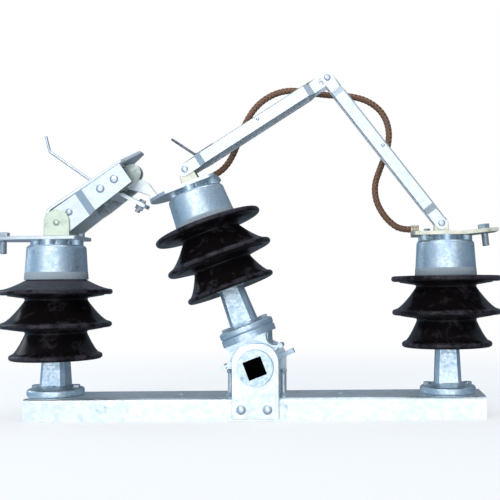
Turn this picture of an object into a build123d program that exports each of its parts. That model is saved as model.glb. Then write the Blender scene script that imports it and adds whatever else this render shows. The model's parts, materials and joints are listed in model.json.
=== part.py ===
import os
from math import atan2, cos, degrees, radians, sin, tan

from build123d import *

os.makedirs("parts", exist_ok=True)

# Clearances, in millimetres
overrun = 5.0
running_clearance = 0.05
side_gap = 0.3
stop_gap = 0.3

# Base channel, web on top and open below
channel_length = 730.0
channel_left_reach = 370.0
channel_width = 100.0
channel_height = 36.0
channel_sheet = 5.0
channel_corner = 6.0
base_hole_radius = 7.0
base_hole_spacing = 260.0

# Post insulators
post_height = 254.0
left_post_reach = 336.5
right_post_reach = 304.5
left_shed_drop = 15.0
flange_radius = 45.0
flange_thickness = 11.0
flange_round = 4.0
flange_crown = 7.0
bolt_seat_radius = 9.0
bolt_seat_reach = 32.0
stem_bottom_half = 21.5
stem_top_half = 18.5
stem_chamfer = 6.0
porcelain_length = 110.0
porcelain_foot_radius = 24.5
neck_radius = 47.0
neck_round = 3.0
collar_radius = 46.0
shed_radii = (73.0, 88.0, 89.0)
shed_drops = (116.0, 64.5, 10.5)
shed_under_drop = 6.0
shed_rim_thickness = 8.0
shed_rim_round = 3.5
shed_flare_radius_share = 0.4
shed_flare_height_share = 0.24
cap_height = 64.0
cap_bottom_radius = 50.0
cap_top_radius = 46.5
cap_shoulder_round = 6.0
cap_pad_radius = 26.0
boss_radius = 10.0
boss_height = 8.0
boss_circle_radius = 34.0
boss_count = 4

# Bearing and rocker
hinge_height = 82.8
closed_tilt = 20.5
plate_thickness = 6.0
bearing_plate_width = 74.0
bearing_plate_bottom = 3.5
bearing_plate_top = 120.5
bearing_plate_shoulder = 30.0
hub_radius = 28.5
hub_stand = 4.0
drive_square = 30.0
socket_depth = 52.0
rocker_top = 57.0
rocker_flange_thickness = 11.0
rocker_half_depth = 28.0
saddle_half_width = 35.0
hub_root_share = 0.8
ear_angle = 68.5
ear_reach = 51.5
ear_radius = 4.0
ear_front = -46.0
ear_back = -20.0
waist_half_width = 31.0
waist_height = 34.0
spur_length = 58.0
spur_thickness = 8.0
spur_half_depth = 7.0
spur_place_depth = 18.0
spur_angle = 2.0
stop_reach = 42.0
stop_depth = -36.0
stop_radius = 4.5
stop_head_radius = 6.0
stop_head_height = 5.5
stop_nut_height = 7.0

# Left terminal and fixed contact
bar_thickness = 6.0
bar_width = 76.0
terminal_width = 50.0
left_plate_outer = 110.0
left_plate_inner = 46.0
left_plate_shoulder = 52.0
terminal_bolt_radius = 6.0
terminal_bolt_head_radius = 10.0
terminal_bolt_head_height = 7.0
terminal_bolt_shank = 21.0
left_terminal_offset = 90.0
bracket_width = 42.0
bracket_sheet = 4.0
bracket_offset = 13.0
bracket_rise = 22.0
bracket_top_radius = 20.5
sheet = 3.0
housing_angle = 34.5
housing_length = 142.0
housing_height = 38.0
housing_end_height = 46.0
housing_depth = 75.0
housing_strap_depth = 64.0
housing_strap_length = 54.0
housing_joggle = 14.0
mouth_back = 83.5
mouth_stand = 33.6
strip_thickness = 5.0
strip_width = 56.0
strip_tip_width = 14.0
strip_overhang = 35.0
strip_angle = 33.2
strip_bend_radius = 14.0
horn_radius = 2.2
horn_bend_radius = 10.0
horn_first = 95.0
horn_first_angle = 144.4
horn_second = 27.0
horn_second_angle = 104.0
horn_place_share = 0.472
jaw_thickness = 4.0
jaw_length = 92.0
jaw_height = 30.0
jaw_stand = 18.0
jaw_lift = 4.5
jaw_bolt_radius = 4.0
jaw_bolt_back = (21.0, 48.0)
jaw_bolt_rise = 19.5
jaw_bolt_head_radius = 7.0
jaw_bolt_head = 3.0
guide_thickness = 6.0
guide_width = 22.0
guide_length = 50.0
guide_back = 31.0
guide_bridge = 15.0
guide_drop_angle = 62.5
guide_bolt_radius = 4.5
guide_bolt_head_radius = 8.5
guide_bolt_head = 4.0
guide_bolt_shank = 15.0
guide_bolt_inset = 14.5

# Moving contact, measured from the hinge with the post upright
moving_plate_left = 74.0
moving_plate_right = 44.0
moving_plate_shoulder = 40.0
moving_plate_end_width = 32.0
blade_thickness = 6.0
blade_root_left = 73.0
blade_root_right = 58.0
blade_shoulder_reach = 66.0
blade_shoulder_rise = 28.0
blade_tip_reach = 96.0
blade_tip_rise = 60.0
blade_heel_reach = 102.0
blade_heel_rise = 33.0
blade_neck_rise = 9.0
blade_round = 3.0

# Folding arms, sized between their pivots
inner_arm_length = 277.5
inner_arm_angle = 32.15
pivot_stand = 25.5
arm_height = 20.0
arm_depth = 40.0
arm_strap_length = 24.0
elbow_strap_length = 31.0
arm_joggle = 11.0
pivot_radius = 4.0
pivot_head_radius = 5.5
pivot_head = 2.5
lug_half_depth = 11.7
lug_sheet = 4.0
lug_width = 30.0
lug_round = 11.0
strap_reach = 13.0
elbow_reach = 11.0
foot_reach = 10.0
elbow_slot_inward = 11.1
elbow_slot_outward = 0.5
elbow_slot_margin = 1.9
tab_thickness = 4.0
tab_width = 14.0
tab_foot = 34.0
tab_place = 27.0
tab_rise = 49.0
tab_lean = 114.0
tab_bend_radius = 8.0

# Right terminal
right_plate_inner = 55.0
right_plate_flat = 28.0
right_plate_bent = 56.0
right_plate_bend = 6.0
right_terminal_back = 20.0
right_pivot_offset = 6.5
right_pivot_stand = 14.0
right_lug_width = 24.0

# Copper braid, chosen by hand along its hanging line, out from the hinge and up from the plates
braid_radius = 5.5
braid_depth = 31.0
braid_points = [
    (-77.0, 104.3), (-59.5, 118.5), (-46.5, 140.5), (-36.5, 168.0), (-25.0, 196.0), (-8.0, 221.0),
    (17.0, 239.0), (47.0, 247.0), (79.0, 242.0), (112.0, 236.5), (147.0, 235.5), (180.0, 227.0),
    (206.0, 206.0), (217.0, 175.0), (213.0, 143.0), (201.0, 113.0), (190.0, 84.0), (192.0, 57.0),
    (202.0, 36.0), (215.0, 20.0), (232.0, 7.6),
]
braid_arc_share = 0.45
braid_end_gap = 0.2
lug_barrel_radius = 7.0
lug_barrel_length = 14.0
lug_tongue_thickness = 3.0
lug_tongue_length = 26.0
lug_tongue_width = 13.0
moving_lug_mouth = 19.0
right_lug_mouth = 55.0

# Values that follow
deck = channel_height
post_top = deck + post_height
plate_top = post_top + bar_thickness
cap_bottom = post_height - cap_height
stem_top = cap_bottom - porcelain_length
contact_seat = rocker_top + post_height
contact_top = contact_seat + bar_thickness
pivot_rise = contact_top + pivot_stand
right_pivot_height = plate_top + right_pivot_stand
bearing_face = channel_width / 2 + plate_thickness
bend = radians(right_plate_bend)
left_overall = left_post_reach + left_plate_outer
right_tip = right_plate_bent * cos(bend) + bar_thickness * sin(bend)
right_overall = right_post_reach + right_plate_flat + right_tip
centring = Pos((left_overall - right_overall) / 2, 0, 0)
closed = Pos(0, 0, hinge_height) * Rot(0, -closed_tilt, 0)
blade_gap = blade_thickness / 2 + side_gap
strap_outer = lug_half_depth + side_gap + sheet
elbow_inner_outer = lug_half_depth + side_gap
elbow_outer_outer = elbow_inner_outer + side_gap + sheet


def side(points):
    return make_face(Plane.XZ * Polyline(points, close=True))


def across(face, half_depth):
    return extrude(face, half_depth, dir=(0, 1, 0), both=True)


def pin(radius, low, high):
    return Pos(0, (low + high) / 2, 0) * Rot(90, 0, 0) * Cylinder(radius, high - low)


def upright(radius, low, high):
    return Pos(0, 0, (low + high) / 2) * Cylinder(radius, high - low)


def tapered_plan(wide_end, shoulder, narrow_end, narrow, wide=bar_width):
    half = wide / 2
    return make_face(Polyline([
        (wide_end, -half), (shoulder, -half), (narrow_end, -narrow / 2),
        (narrow_end, narrow / 2), (shoulder, half), (wide_end, half),
    ], close=True))


# A point fixed to the rocker, out from the hinge and up the post, as it lies with the switch closed
def tilted(x, z):
    tilt = radians(closed_tilt)
    return x * cos(tilt) - z * sin(tilt), hinge_height + x * sin(tilt) + z * cos(tilt)


def save(name, shape):
    export_step(centring * shape, f"parts/{name}.step")


# Post insulator, standing on its base flange
def stem_section(half):
    return chamfer(Rectangle(2 * half, 2 * half).vertices(), stem_chamfer)


def stem_casting(drop):
    crown = flange_thickness + flange_crown
    flange = side([
        (0, 0), (flange_radius, 0), (flange_radius, flange_thickness), (stem_bottom_half, crown), (0, crown),
    ])
    flange = fillet(flange.vertices().group_by(Axis.X)[-1], flange_round)
    low = Pos(0, 0, flange_thickness) * stem_section(stem_bottom_half)
    stem = revolve(flange, Axis.Z) + loft([low, Pos(0, 0, stem_top - drop) * stem_section(stem_top_half)])
    for reach in (-bolt_seat_reach, bolt_seat_reach):
        stem -= Pos(reach, 0, 0) * upright(bolt_seat_radius, flange_thickness, crown)
    return stem


# Each shed flares from the notch above it out to its rim, and the top one rises to the cap
def porcelain(drop):
    foot = stem_top - drop
    lows = [cap_bottom - below - drop for below in shed_drops]
    notches = [(neck_radius, low - shed_under_drop) for low in lows[1:]] + [(collar_radius, cap_bottom)]
    outline = [(0, foot), (porcelain_foot_radius, foot)]
    for radius, low, notch in zip(shed_radii, lows, notches):
        high = low + shed_rim_thickness
        flare = (
            radius + shed_flare_radius_share * (notch[0] - radius),
            high + shed_flare_height_share * (notch[1] - high),
        )
        outline += [(radius, low), (radius, high), flare, notch]
    face = side(outline + [(0, cap_bottom)])
    for radius, low in zip(shed_radii, lows):
        middle = Vector(radius, 0, low + shed_rim_thickness / 2)
        face = fillet(face.vertices().sort_by_distance(middle)[:2], shed_rim_round)
    necks = [face.vertices().sort_by_distance(Vector(x, 0, z))[0] for x, z in notches[:-1]]
    return revolve(fillet(necks, neck_round), Axis.Z)


def cap_casting():
    body_top = post_height - boss_height
    body = revolve(side([
        (0, cap_bottom), (cap_bottom_radius, cap_bottom), (cap_top_radius, body_top), (0, body_top),
    ]), Axis.Z)
    body = fillet(body.edges().sort_by(Axis.Z)[-1], cap_shoulder_round)
    body += upright(cap_pad_radius, body_top - overrun, post_height)
    return body + PolarLocations(boss_circle_radius, boss_count) * upright(
        boss_radius, body_top - overrun, post_height)


def save_post(name, place, drop):
    save(f"{name}_stem", place * stem_casting(drop))
    save(f"{name}_insulator", place * porcelain(drop))
    save(f"{name}_cap", place * cap_casting())


# Folded channel with both cheeks joggled in to straps, along +X with its web on top
def cheeks(stations, height):
    inner = [(x, y - sheet) for x, y in reversed(stations)]
    wall = extrude(make_face(Polyline(stations + inner, close=True)), height / 2, both=True)
    return wall + mirror(wall, Plane.XZ)


def folded_arm(length, start_half, start_reach, end_half, end_reach, end_strap):
    half = arm_depth / 2
    body_start = arm_strap_length + arm_joggle
    body_end = length - end_strap - arm_joggle
    walls = cheeks([
        (-start_reach, start_half), (arm_strap_length, start_half), (body_start, half),
        (body_end, half), (length - end_strap, end_half), (length + end_reach, end_half),
    ], arm_height)
    web = Box(body_end - body_start, arm_depth, sheet)
    web = Pos((body_start + body_end) / 2, 0, (arm_height - sheet) / 2) * web
    span = length + start_reach + end_reach
    outline = Pos((length + end_reach - start_reach) / 2, 0, 0) * SlotOverall(span, arm_height)
    return (walls + web) & extrude(Plane.XZ * outline, arm_depth, both=True)


def clevis(width, foot, rise):
    ear = make_hull(
        (Pos(0, rise) * Circle(lug_round)).edges()
        + (Pos(0, lug_sheet / 2) * Rectangle(width, lug_sheet)).edges()
    )
    ears = across(Plane.XZ * ear, lug_half_depth)
    slot = Pos(0, 0, lug_sheet + rise) * Box(2 * width, 2 * (lug_half_depth - lug_sheet), 2 * rise)
    bore = Pos(0, 0, rise) * pin(pivot_radius + running_clearance, -2 * lug_half_depth, 2 * lug_half_depth)
    return Pos(0, 0, foot) * (ears - slot - bore)


def pivot_pin(outer):
    seat = outer + side_gap
    shank = pin(pivot_radius, -seat - pivot_head / 2, seat + pivot_head / 2)
    head = pin(pivot_head_radius, seat, seat + pivot_head)
    return shank + head + mirror(head, Plane.XZ)


# Base channel
profile = Rectangle(channel_width, channel_height) - Pos(0, -channel_sheet) * Rectangle(
    channel_width - 2 * channel_sheet, channel_height)
profile = fillet(profile.vertices().group_by(Axis.Y)[-1], channel_corner)
channel = extrude(Plane.YZ * profile, channel_length)
channel = Pos(-channel_left_reach, 0, channel_height / 2) * channel
for place in (-base_hole_spacing / 2, base_hole_spacing / 2):
    channel -= Pos(place, 0, 0) * upright(base_hole_radius, 0, channel_height + overrun)
save("base_channel", channel)

# Bearing plates on the channel's outer faces
bearing_span = bearing_plate_top - bearing_plate_bottom
bearing = Pos(0, bearing_plate_bottom + bearing_span / 2) * Rectangle(bearing_plate_width, bearing_span)
bearing = fillet(bearing.vertices().group_by(Axis.Y)[-1], bearing_plate_shoulder)
bearing -= Pos(0, hinge_height) * Circle(hub_radius + running_clearance)
plate = across(Plane.XZ * bearing, plate_thickness / 2)
for name, depth in (("front", -1), ("back", 1)):
    save(f"bearing_plate_{name}", Pos(0, depth * (channel_width + plate_thickness) / 2, 0) * plate)

# Posts
save_post("left", Pos(-left_post_reach, 0, deck), left_shed_drop)
save_post("right", Pos(right_post_reach, 0, deck), 0)
save_post("centre", closed * Pos(0, 0, rocker_top), 0)

# Rocker casting, with the post upright and the hinge at the origin
ear_x = ear_reach * sin(radians(ear_angle))
ear_z = ear_reach * cos(radians(ear_angle))
flange_low = rocker_top - rocker_flange_thickness
root_x = hub_radius * hub_root_share
ear_top = ear_z + ear_radius / 2
saddle = Wire([
    ThreePointArc((-saddle_half_width, flange_low), (-waist_half_width, waist_height), (-ear_x, ear_top)),
    *Polyline((-ear_x, ear_top), (-root_x, 0), (root_x, 0), (ear_x, ear_top)).edges(),
    ThreePointArc((ear_x, ear_top), (waist_half_width, waist_height), (saddle_half_width, flange_low)),
    Line((saddle_half_width, flange_low), (-saddle_half_width, flange_low)),
])
ear_middle = (ear_front + ear_back) / 2
ear_half = (ear_back - ear_front) / 2
rocker = Pos(0, ear_middle, 0) * across(Plane.XZ * make_face(saddle.edges()), ear_half)
for reach in (-ear_x, ear_x):
    rocker += Pos(reach, 0, ear_z) * pin(ear_radius, ear_front, ear_back)
rocker += across(side([
    (-saddle_half_width, flange_low), (-waist_half_width, waist_height), (-root_x, 0), (root_x, 0),
    (waist_half_width, waist_height), (saddle_half_width, flange_low),
]), rocker_half_depth)
rocker += upright(flange_radius, flange_low, rocker_top)
spur = Pos(spur_length / 2, spur_place_depth, 0) * Box(spur_length, 2 * spur_half_depth, spur_thickness)
rocker += Rot(0, -spur_angle, 0) * spur
hub_face = bearing_face + hub_stand
rocker += pin(hub_radius, -hub_face, hub_face)
socket = Box(drive_square, 2 * socket_depth, drive_square)
for depth in (-hub_face, hub_face):
    rocker -= Pos(0, depth, 0) * socket
save("rocker_casting", closed * rocker)

# Stop bolts under the rocker's ears
low_root = tilted(-root_x, 0)
low_ear = tilted(-ear_x, ear_top)
stop_edge = stop_head_radius - stop_reach
stop_share = (stop_edge - low_root[0]) / (low_ear[0] - low_root[0])
stop_top = low_root[1] + stop_share * (low_ear[1] - low_root[1]) - stop_gap
for name, reach in (("left", -stop_reach), ("right", stop_reach)):
    bolt = upright(stop_radius, deck, stop_top)
    bolt += upright(stop_head_radius, stop_top - stop_head_height, stop_top)
    bolt += upright(stop_head_radius, deck, deck + stop_nut_height)
    save(f"stop_bolt_{name}", Pos(reach, stop_depth, 0) * bolt)

# Left terminal plate and bolt
left_plan = tapered_plan(left_plate_inner, -left_plate_shoulder, -left_plate_outer, terminal_width)
left_plate = Pos(0, 0, post_top) * extrude(left_plan, bar_thickness)
left_hole = Pos(-left_terminal_offset, 0, post_top) * upright(
    terminal_bolt_radius + running_clearance, -overrun, bar_thickness + overrun)
save("left_terminal_plate", Pos(-left_post_reach, 0, 0) * (left_plate - left_hole))
terminal_bolt = upright(terminal_bolt_radius, -terminal_bolt_shank, bar_thickness) + upright(
    terminal_bolt_head_radius, bar_thickness, bar_thickness + terminal_bolt_head_height)
save("left_terminal_bolt", Pos(-left_post_reach - left_terminal_offset, 0, post_top) * terminal_bolt)

# Fixed contact, along the housing's own axis from its mouth's lower corner
mouth_x, mouth_z = tilted(-mouth_back, contact_top + mouth_stand)
mouth = Pos(mouth_x, 0, mouth_z) * Rot(0, -housing_angle, 0)
end_drop = housing_end_height - housing_height
web_length = housing_length - housing_strap_length - housing_joggle
housing = Pos(0, 0, housing_height - housing_end_height / 2) * cheeks([
    (-housing_length, housing_strap_depth / 2), (-web_length - housing_joggle, housing_strap_depth / 2),
    (-web_length, housing_depth / 2), (0, housing_depth / 2),
], housing_end_height)
housing -= across(side([
    (0, 0), (-housing_length, -end_drop), (-housing_length, -housing_end_height), (0, -housing_end_height),
]), housing_depth)
housing += Pos(-web_length / 2, 0, housing_height - sheet / 2) * Box(web_length, housing_depth, sheet)
jaw_bore = pin(jaw_bolt_radius + running_clearance, -housing_depth, housing_depth)
for back in jaw_bolt_back:
    housing -= Pos(-back, 0, jaw_bolt_rise) * jaw_bore
bracket_x = -left_post_reach + bracket_offset
bracket_floor = plate_top + bracket_sheet
below_floor = Pos(bracket_x, 0, bracket_floor - post_height / 2) * Box(post_height, post_height, post_height)
save("contact_housing", mouth * housing - Pos(0, 0, side_gap) * below_floor)

# Jaw fingers either side of the blade, on two bolts through the housing
jaw = Pos(jaw_stand - jaw_length / 2, jaw_lift + jaw_height / 2) * SlotOverall(jaw_length, jaw_height)
for back in jaw_bolt_back:
    jaw -= Pos(-back, jaw_bolt_rise) * Circle(jaw_bolt_radius + running_clearance)
finger = across(Plane.XZ * jaw, jaw_thickness / 2)
for name, depth in (("front", -1), ("back", 1)):
    save(f"contact_jaw_{name}", mouth * Pos(0, depth * (blade_gap + jaw_thickness / 2), 0) * finger)
jaw_bolt = pin(jaw_bolt_radius, -housing_depth / 2, housing_depth / 2)
jaw_bolt_end = pin(jaw_bolt_head_radius, housing_depth / 2, housing_depth / 2 + jaw_bolt_head)
jaw_bolt += jaw_bolt_end + mirror(jaw_bolt_end, Plane.XZ)
jaw_bolts = Compound([Pos(-back, 0, jaw_bolt_rise) * jaw_bolt for back in jaw_bolt_back])
save("contact_jaw_bolts", mouth * jaw_bolts)

# U bracket on the terminal plate, its cheeks outside the housing's straps
bracket_half = housing_strap_depth / 2 + bracket_sheet
leg = make_hull(
    (Pos(bracket_x, plate_top + bracket_rise) * Circle(bracket_top_radius)).edges()
    + (Pos(bracket_x, plate_top + bracket_sheet / 2) * Rectangle(bracket_width, bracket_sheet)).edges()
)
bracket = across(Plane.XZ * leg, bracket_half)
bracket -= Pos(bracket_x, 0, bracket_floor + post_height / 2) * Box(
    post_height, housing_strap_depth, post_height)
save("contact_bracket", bracket)

# Flat strip resting on the housing's lip, bent down between the bracket's cheeks
angle = radians(housing_angle)
slope = radians(strip_angle)
lip_x = mouth_x - housing_height * sin(angle)
lip_z = mouth_z + housing_height * cos(angle)
strip_tip = (
    lip_x + strip_overhang * cos(slope) - strip_thickness / 2 * sin(slope),
    lip_z + strip_overhang * sin(slope) + strip_thickness / 2 * cos(slope),
)
strip_foot_x = bracket_x - bracket_width / 2 + strip_thickness / 2
strip_run = (strip_tip[0] - strip_foot_x) / cos(slope)
strip_corner = (strip_foot_x, strip_tip[1] - strip_run * sin(slope))
strip_line = FilletPolyline(
    strip_tip, strip_corner, (strip_foot_x, plate_top), radius=strip_bend_radius)
strip = extrude(Plane.XZ * trace(strip_line, strip_thickness), strip_width / 2, both=True)
strip_plan = tapered_plan(
    strip_foot_x - strip_width, lip_x, strip_tip[0] + strip_thickness, strip_tip_width, strip_width)
strip &= extrude(strip_plan, 2 * post_top)
strip -= below_floor
save("contact_top_strip", strip)

# Fixed arcing horn, standing on the strip
horn_x = strip_corner[0] + horn_place_share * strip_run * cos(slope)
horn_z = strip_corner[1] + horn_place_share * strip_run * sin(slope)
first = radians(horn_first_angle)
second = radians(horn_second_angle)
horn_bend = (horn_x + horn_first * cos(first), 0, horn_z + horn_first * sin(first))
horn_tip = (horn_bend[0] + horn_second * cos(second), 0, horn_bend[2] + horn_second * sin(second))
horn_path = FilletPolyline((horn_x, 0, horn_z), horn_bend, horn_tip, radius=horn_bend_radius)
horn = sweep((horn_path ^ 0) * Circle(horn_radius), horn_path) - strip
save("fixed_arcing_horn", horn.solids().sort_by(SortBy.VOLUME)[-1])

# Guide strip bridging the mouth's underside and bent down, with its bolt
guide_corner = (-guide_back, jaw_lift - side_gap - guide_thickness / 2)
bridge = Pos(-guide_back - guide_bridge / 2, 0, guide_corner[1]) * Box(
    guide_bridge, housing_depth - 2 * sheet, guide_thickness)
tongue = Pos(guide_corner[0], 0, guide_corner[1]) * Rot(0, guide_drop_angle, 0) * (
    Pos(guide_length / 2, 0, 0) * Box(guide_length, guide_width, guide_thickness))
guide_bolt_place = mouth * Pos(guide_corner[0], 0, guide_corner[1]) * Rot(0, guide_drop_angle, 0) * Pos(
    guide_length - guide_bolt_inset, 0, 0)
guide_hole = upright(guide_bolt_radius + running_clearance, -guide_thickness, guide_thickness)
save("mouth_guide", mouth * (bridge + tongue) - guide_bolt_place * guide_hole)
guide_bolt = upright(guide_bolt_radius, -guide_bolt_shank, guide_thickness / 2)
guide_bolt += upright(guide_bolt_head_radius, guide_thickness / 2, guide_thickness / 2 + guide_bolt_head)
save("mouth_guide_bolt", guide_bolt_place * guide_bolt)

# Moving contact on the centre post, with the post upright and the hinge at the origin
moving_plan = tapered_plan(
    moving_plate_right, -moving_plate_shoulder, -moving_plate_left, moving_plate_end_width)
save("moving_plate", closed * Pos(0, 0, contact_seat) * extrude(moving_plan, bar_thickness))
blade = side([
    (-blade_root_left, contact_top), (-blade_root_right, contact_top),
    (-blade_shoulder_reach, contact_top + blade_shoulder_rise),
    (-blade_tip_reach, contact_top + blade_tip_rise), (-blade_heel_reach, contact_top + blade_heel_rise),
    (-blade_root_left, contact_top + blade_neck_rise),
])
blade = fillet([v for v in blade.vertices() if v.Z > contact_top + blade_round], blade_round)
save("moving_blade", closed * across(blade, blade_thickness / 2))
save("centre_arm_bracket", closed * clevis(lug_width, contact_top, pivot_rise - contact_top))
save("centre_pivot_pin", closed * Pos(0, 0, pivot_rise) * pivot_pin(strap_outer))

# Inner arm, from the centre post's pivot up to the elbow
shoulder_x = -pivot_rise * sin(radians(closed_tilt))
shoulder_z = hinge_height + pivot_rise * cos(radians(closed_tilt))
elbow_x = shoulder_x + inner_arm_length * cos(radians(inner_arm_angle))
elbow_z = shoulder_z + inner_arm_length * sin(radians(inner_arm_angle))
inner_place = Pos(shoulder_x, 0, shoulder_z) * Rot(0, -inner_arm_angle, 0)
pivot_hole = pin(pivot_radius + running_clearance, -arm_depth, arm_depth)
inner_arm = folded_arm(
    inner_arm_length, strap_outer, strap_reach, elbow_inner_outer, elbow_reach, elbow_strap_length)
inner_arm -= pivot_hole
slot_radius = pivot_radius + elbow_slot_margin
slot = Pos(inner_arm_length + (elbow_slot_outward - elbow_slot_inward) / 2, 0) * SlotOverall(
    elbow_slot_inward + elbow_slot_outward + 2 * slot_radius, 2 * slot_radius)
inner_arm -= across(Plane.XZ * slot, arm_depth)
save("inner_arm", inner_place * inner_arm)
lean = radians(tab_lean)
tab_level = arm_height / 2 + tab_thickness / 2
tab_line = FilletPolyline(
    (tab_place + tab_foot, tab_level), (tab_place, tab_level),
    (tab_place + tab_rise * cos(lean), tab_level + tab_rise * sin(lean)), radius=tab_bend_radius)
tab = extrude(Plane.XZ * trace(tab_line, tab_thickness), tab_width / 2, both=True)
save("inner_arm_horn", inner_place * tab)

# Outer arm, from the elbow down to the right terminal
right_pivot_x = right_post_reach - right_pivot_offset
outer_arm_length = ((right_pivot_x - elbow_x) ** 2 + (right_pivot_height - elbow_z) ** 2) ** 0.5
outer_arm_angle = degrees(atan2(elbow_z - right_pivot_height, right_pivot_x - elbow_x))
outer_place = Pos(elbow_x, 0, elbow_z) * Rot(0, outer_arm_angle, 0)
outer_arm = folded_arm(
    outer_arm_length, elbow_outer_outer, elbow_reach, strap_outer, foot_reach, arm_strap_length)
outer_arm -= pivot_hole
outer_arm -= Pos(outer_arm_length, 0, 0) * pivot_hole
save("outer_arm", outer_place * outer_arm)
save("elbow_pin", outer_place * pivot_pin(elbow_outer_outer))

# Right terminal
bend_x = right_post_reach + right_plate_flat
level = post_top + bar_thickness / 2
bar_line = Polyline(
    (right_post_reach - right_plate_inner, level), (bend_x, level),
    (bend_x + right_plate_bent * cos(bend), level + right_plate_bent * sin(bend)))
right_plan = tapered_plan(
    -right_plate_inner, right_plate_flat, right_plate_flat + right_tip, terminal_width)
right_plate = extrude(Plane.XZ * trace(bar_line, bar_thickness), bar_width / 2, both=True)
right_plate &= Pos(right_post_reach, 0, 0) * extrude(right_plan, 2 * post_top)
right_bolt_place = Pos(bend_x, 0, level) * Rot(0, -right_plate_bend, 0) * Pos(
    right_plate_bent - right_terminal_back, 0, -bar_thickness / 2)
right_hole = upright(terminal_bolt_radius + running_clearance, -overrun, bar_thickness + overrun)
save("right_terminal_plate", right_plate - right_bolt_place * right_hole)
save("right_terminal_bolt", right_bolt_place * terminal_bolt)
right_pivot = Pos(right_pivot_x, 0, 0)
save("right_arm_bracket", right_pivot * clevis(right_lug_width, plate_top, right_pivot_height - plate_top))
save("right_pivot_pin", right_pivot * Pos(0, 0, right_pivot_height) * pivot_pin(strap_outer))


# Braid lugs, barrel along +X with its mouth at the origin and its tongue flat below
def braid_lug():
    barrel = Rot(0, 90, 0) * upright(lug_barrel_radius, -lug_barrel_length, 0)
    tongue_drop = lug_barrel_radius + side_gap - lug_tongue_thickness / 2
    reach = lug_tongue_length + lug_barrel_length
    return barrel + Pos(-reach / 2, 0, -tongue_drop) * Box(reach, lug_tongue_width, lug_tongue_thickness)


barrel_rise = lug_barrel_radius + side_gap
moving_lug = Pos(moving_lug_mouth, braid_depth, contact_top + barrel_rise) * braid_lug()
save("braid_lug_moving", closed * moving_lug)
right_mouth = (right_post_reach - right_lug_mouth, plate_top + barrel_rise)
save("braid_lug_right", Pos(right_mouth[0], braid_depth, right_mouth[1]) * Rot(0, 0, 180) * braid_lug())

# Copper braid, straight runs joined by arcs as large as they allow
braid_line = [tilted(moving_lug_mouth + braid_end_gap, contact_top + barrel_rise)]
braid_line += [(x, plate_top + z) for x, z in braid_points]
braid_line.append((right_mouth[0] - braid_end_gap, right_mouth[1]))
route = [Vector(x, braid_depth, z) for x, z in braid_line]
runs = [b - a for a, b in zip(route, route[1:])]
turns = [a.get_angle(b) for a, b in zip(runs, runs[1:])]
radii = [
    braid_arc_share * min(a.length, b.length) / tan(radians(turn / 2))
    for a, b, turn in zip(runs, runs[1:], turns)
]
braid_path = FilletPolyline(*route, radius=radii)
braid = sweep(Plane(origin=route[0], z_dir=runs[0]) * Circle(braid_radius), braid_path)
save("copper_braid", braid)
print("braid radii", [round(radius) for radius in radii], "turns", [round(turn) for turn in turns])
print("braid length", round(braid_path.length, 1), "volume", round(braid.volume))
print("braid section times length", round(Circle(braid_radius).area * braid_path.length))
print("outer arm", round(outer_arm_length, 2), round(outer_arm_angle, 2))
print("elbow", round(elbow_x, 2), round(elbow_z, 2))
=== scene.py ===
import json
from math import atan2, cos, pi, radians, sin

import bpy
from mathutils import Matrix, Vector


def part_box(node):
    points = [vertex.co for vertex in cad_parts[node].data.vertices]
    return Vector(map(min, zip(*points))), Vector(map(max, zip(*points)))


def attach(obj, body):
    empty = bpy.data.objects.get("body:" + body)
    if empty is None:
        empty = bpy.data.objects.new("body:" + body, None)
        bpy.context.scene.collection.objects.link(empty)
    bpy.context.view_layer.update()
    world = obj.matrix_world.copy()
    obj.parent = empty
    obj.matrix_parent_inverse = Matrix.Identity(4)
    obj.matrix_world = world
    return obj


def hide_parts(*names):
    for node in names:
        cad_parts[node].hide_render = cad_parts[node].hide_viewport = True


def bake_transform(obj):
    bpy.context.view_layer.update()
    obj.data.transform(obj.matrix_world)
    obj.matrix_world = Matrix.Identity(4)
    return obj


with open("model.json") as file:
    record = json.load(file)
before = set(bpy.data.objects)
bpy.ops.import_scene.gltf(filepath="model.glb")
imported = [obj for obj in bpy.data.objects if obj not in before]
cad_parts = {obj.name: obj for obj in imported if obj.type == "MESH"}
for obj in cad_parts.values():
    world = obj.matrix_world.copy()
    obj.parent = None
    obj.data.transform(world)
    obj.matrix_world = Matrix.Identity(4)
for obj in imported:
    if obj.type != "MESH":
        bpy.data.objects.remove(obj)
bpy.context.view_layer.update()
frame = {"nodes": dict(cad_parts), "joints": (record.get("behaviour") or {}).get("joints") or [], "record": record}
bpy.ops.object.select_all(action="DESELECT")
slotOf = {p["node"]: p["material_slot"] for p in frame["record"]["subparts"]}
bodyOf = {n: b for b, names in frame["record"]["behaviour"]["bodies"].items() for n in names}
joints = {j["name"]: Vector(j["pos_m"]) for j in frame["joints"]}
print("frame loaded with", len(frame["nodes"]), "CAD nodes")


# Where the leaning pieces are, so that each can be worked on in its own straight frame
lay = {
    "postLean": 20.5,
    "innerArmAngle": 32.15, "innerArmLength": 0.2775,
    "housingAngle": 34.5,
    "mouthOnRocker": Vector((-0.0835, 0, 0.3506)),
    "guideOnHousing": (-0.031, 0, 0.0012), "guideTurn": 62.5,
    "rightBend": 6.0,
    "deck": 0.036,
    "leftPost": -0.3365, "rightPost": 0.3045, "rockerTop": 0.057,
}


def leaning(origin, degreesUp):
    return Matrix.Translation(origin) @ Matrix.Rotation(radians(-degreesUp), 4, "Y")


def at(place, x, y, z):
    return place @ Matrix.Translation((x, y, z))


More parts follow.
